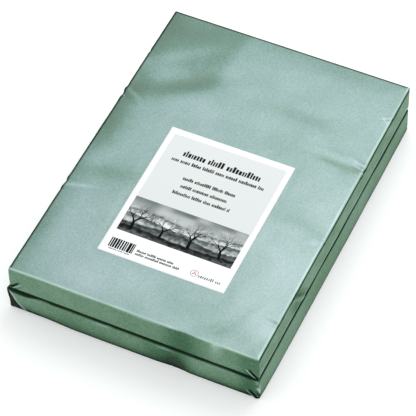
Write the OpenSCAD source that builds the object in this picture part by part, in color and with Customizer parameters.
// Two aligned packs of cut printing paper, one on top of the other, each hand wrapped in foil-coated
// paper with a large label on top. +Z is up, the origin is the bottom centre of the stack, the short
// end with the open-looking darts faces -Y. All sizes are in millimetres.

/* [Stack] */

// Width of a wrapped pack, left to right
pack_w = 214; // [180:1:300]
// Length of a wrapped pack, front to back
pack_d = 302; // [240:1:430]
// Thickness of the upper pack
upper_h = 25.7; // [16:0.1:40]
// Thickness of the lower pack
lower_h = 25.7; // [16:0.1:40]
// Clearance between the lower pack and the upper one
stack_gap = 0.5; // [0.5:0.1:2]

/* [Wrapping paper] */

// Thickness of the foil-coated paper
wrap_t = 0.3; // [0.2:0.05:0.4]
// Clearance between two plies of paper that move apart
ply_gap = 0.3; // [0.3:0.05:0.5]
// Clearance between a hinge line and the sleeve edge behind it
crease_gap = 0.45; // [0.4:0.05:0.6]
// Position of the seam under the pack, right of the centre
seam_x = 38; // [10:1:60]
// Overlap of the two plies at the seam
seam_lap = 32; // [10:1:50]

/* [End folds] */

// Length of a corner dart, as a share of the pack's thickness
dart_share = 0.35; // [0.2:0.01:0.45]
// Width of a corner dart
dart_w = 0.8; // [0.5:0.1:1.2]
// How far the slanted fold runs inward, as a share of the pack's thickness
slant_share = 0.45; // [0.2:0.01:0.8]
// Height of the inner flap, as a share of the pack's thickness
inner_share = 0.45; // [0.3:0.01:0.6]

/* [Contents] */

// Width of a sheet
sheet_w = 210; // [170:1:290]
// Length of a sheet
sheet_d = 297; // [230:1:420]
// Thickness of a sheet
sheet_t = 0.5; // [0.3:0.05:0.8]
// Thickness of a stiffening board
board_t = 1.2; // [0.8:0.1:2]

/* [Label] */

// Width of the label
label_w = 109; // [80:1:130]
// Length of the label
label_d = 138; // [100:1:160]
// Thickness of the label
label_t = 0.15; // [0.1:0.05:0.2]
// Sideways position of the label's centre
label_x = 2; // [-10:0.1:10]
// Lengthways position of the label's centre
label_y = -37; // [-50:0.1:50]
// Turn of the label about its centre
label_turn = 0.2; // [-3:0.1:3]

/* [Hidden] */

half_w = pack_w / 2;
half_d = pack_d / 2;
upper_z = lower_h + stack_gap;
ply = wrap_t + ply_gap;              // pitch of the folded plies
flap_y = half_d - wrap_t;            // inner face and hinge line of the outer flap
tuck_y = flap_y - ply;               // the same for the side tucks
inner_y = tuck_y - ply;              // the same for the inner flap
tuck_inset = wrap_t + 2 * ply_gap;   // keeps a tuck clear of the floor and roof of the sleeve
slack = 0.1;                         // play between boards, sheets and sleeve
sheet_gap = 0.02;                    // air between two sheets
board_inset = 0.4;                   // a board is this much smaller than a sheet's wrapped length
floor_z = 2 * wrap_t + ply_gap + slack;
dart_reach = sqrt(2);

foil = [0.55, 0.68, 0.62];
foil_side = [0.47, 0.58, 0.50];
foil_back = [0.20, 0.28, 0.23];
board_grey = [0.62, 0.60, 0.56];
cotton = [0.95, 0.94, 0.89];
label_white = [0.96, 0.96, 0.95];

// ---- one pack, standing on z = 0, h thick -------------------------------------------------------

// Cross-section of the sleeve: one strip of paper that laps over itself underneath.
module sleeve_outline(h) {
  polygon([
    [seam_x, 0], [-half_w, 0], [-half_w, h], [half_w, h], [half_w, 0],
    [seam_x + ply_gap, 0], [seam_x + ply_gap, ply], [seam_x - seam_lap, ply],
    [seam_x - seam_lap, ply + wrap_t], [seam_x + ply, ply + wrap_t], [seam_x + ply, wrap_t],
    [half_w - wrap_t, wrap_t], [half_w - wrap_t, h - wrap_t],
    [wrap_t - half_w, h - wrap_t], [wrap_t - half_w, wrap_t], [seam_x, wrap_t]
  ]);
}

// A box that is centred in x, starts at the distance y from the centre and points to -Y.
module end_box(y, w, z0, z1) {
  translate([-w / 2, -half_d - 1, z0]) cube([w, half_d + 1 - y, z1 - z0]);
}

module both_ends() {
  children();
  rotate([0, 0, 180]) children();
}

module sleeve(h) {
  difference() {
    rotate([90, 0, 0])
      linear_extrude(height = 2 * (flap_y - crease_gap), center = true) sleeve_outline(h);
    both_ends() {
      end_box(tuck_y - crease_gap, pack_w + 2, wrap_t + ply, h - wrap_t);
      end_box(inner_y - crease_gap, pack_w + 2, -1, wrap_t + ply + slack);
    }
  }
}

// A plate drawn in x and z that faces -Y, with its inner face at the distance y from the centre.
module end_plate(y) {
  translate([0, -y, 0]) rotate([90, 0, 0]) linear_extrude(height = wrap_t) children();
}

// A slot that starts at the lower right corner of a flap and climbs inward at 45 degrees.
module dart(h) {
  translate([half_w, wrap_t]) rotate(135)
    translate([-h, -dart_w / 2]) square([h + dart_share * h * dart_reach, dart_w]);
}

module flap_outline(h, slanted) {
  difference() {
    polygon([
      [slanted ? -half_w + slant_share * h : -half_w, wrap_t],
      [half_w, wrap_t], [half_w, h - wrap_t], [-half_w, h - wrap_t]
    ]);
    dart(h);
    if (!slanted) mirror([1, 0]) dart(h);
  }
}

module outer_flap(h, slanted = false) {
  end_plate(flap_y) flap_outline(h, slanted);
}

// Right-hand tuck: a triangle hinged on the upright corner edge, widest at the bottom.
module tuck(h) {
  low = tuck_inset;
  high = h - tuck_inset;
  end_plate(tuck_y)
    polygon([[half_w - wrap_t, low], [half_w - wrap_t, high], [half_w - wrap_t - high + low, low]]);
}

module inner_flap(h) {
  foot = half_w - wrap_t - 2 * ply_gap;
  rise = inner_share * h - wrap_t;
  end_plate(inner_y)
    polygon([[-foot, wrap_t], [foot, wrap_t], [foot - rise, wrap_t + rise], [rise - foot, wrap_t + rise]]);
}

module layer(w, d, z, t) {
  translate([-w / 2, -d / 2, z]) cube([w, d, t]);
}

module bottom_board() {
  layer(sheet_w + board_inset, sheet_d + board_inset, floor_z, board_t);
}

module top_board(h) {
  layer(sheet_w + board_inset, sheet_d + board_inset, h - wrap_t - slack - board_t, board_t);
}

module sheets(h) {
  low = floor_z + board_t + slack;
  high = h - wrap_t - board_t - 2 * slack;
  pitch = sheet_t + sheet_gap;
  count = floor((high - low + sheet_gap) / pitch);
  spread = (high - low - sheet_t) / (count - 1);
  for (i = [0 : count - 1]) layer(sheet_w, sheet_d, low + i * spread, sheet_t);
}

module label(h) {
  translate([label_x, label_y, h]) rotate([0, 0, label_turn]) layer(label_w, label_d, 0, label_t);
}

module rear() { rotate([0, 0, 180]) children(); }
module left() { mirror([1, 0, 0]) children(); }
module raised() { translate([0, 0, upper_z]) children(); }

// ---- the named pieces ---------------------------------------------------------------------------

module lower_wrap() { color(foil) sleeve(lower_h); }
module lower_front_flap() { color(foil_side) outer_flap(lower_h, slanted = true); }
module lower_front_inner_flap() { color(foil_back) inner_flap(lower_h); }
module lower_front_left_tuck() { color(foil_back) left() tuck(lower_h); }
module lower_front_right_tuck() { color(foil_back) tuck(lower_h); }
module lower_rear_flap() { color(foil_side) rear() outer_flap(lower_h); }
module lower_rear_inner_flap() { color(foil_back) rear() inner_flap(lower_h); }
module lower_rear_left_tuck() { color(foil_back) rear() tuck(lower_h); }
module lower_rear_right_tuck() { color(foil_back) rear() left() tuck(lower_h); }
module lower_bottom_board() { color(board_grey) bottom_board(); }
module lower_sheets() { color(cotton) sheets(lower_h); }
module lower_top_board() { color(board_grey) top_board(lower_h); }
module lower_label() { color(label_white) label(lower_h); }

module upper_wrap() { color(foil) raised() sleeve(upper_h); }
module upper_front_flap() { color(foil_side) raised() outer_flap(upper_h); }
module upper_front_inner_flap() { color(foil_back) raised() inner_flap(upper_h); }
module upper_front_left_tuck() { color(foil_back) raised() left() tuck(upper_h); }
module upper_front_right_tuck() { color(foil_back) raised() tuck(upper_h); }
module upper_rear_flap() { color(foil_side) raised() rear() outer_flap(upper_h); }
module upper_rear_inner_flap() { color(foil_back) raised() rear() inner_flap(upper_h); }
module upper_rear_left_tuck() { color(foil_back) raised() rear() tuck(upper_h); }
module upper_rear_right_tuck() { color(foil_back) raised() rear() left() tuck(upper_h); }
module upper_bottom_board() { color(board_grey) raised() bottom_board(); }
module upper_sheets() { color(cotton) raised() sheets(upper_h); }
module upper_top_board() { color(board_grey) raised() top_board(upper_h); }
module upper_label() { color(label_white) raised() label(upper_h); }

lower_wrap();
lower_front_flap();
lower_front_inner_flap();
lower_front_left_tuck();
lower_front_right_tuck();
lower_rear_flap();
lower_rear_inner_flap();
lower_rear_left_tuck();
lower_rear_right_tuck();
lower_bottom_board();
lower_sheets();
lower_top_board();
lower_label();
upper_wrap();
upper_front_flap();
upper_front_inner_flap();
upper_front_left_tuck();
upper_front_right_tuck();
upper_rear_flap();
upper_rear_inner_flap();
upper_rear_left_tuck();
upper_rear_right_tuck();
upper_bottom_board();
upper_sheets();
upper_top_board();
upper_label();
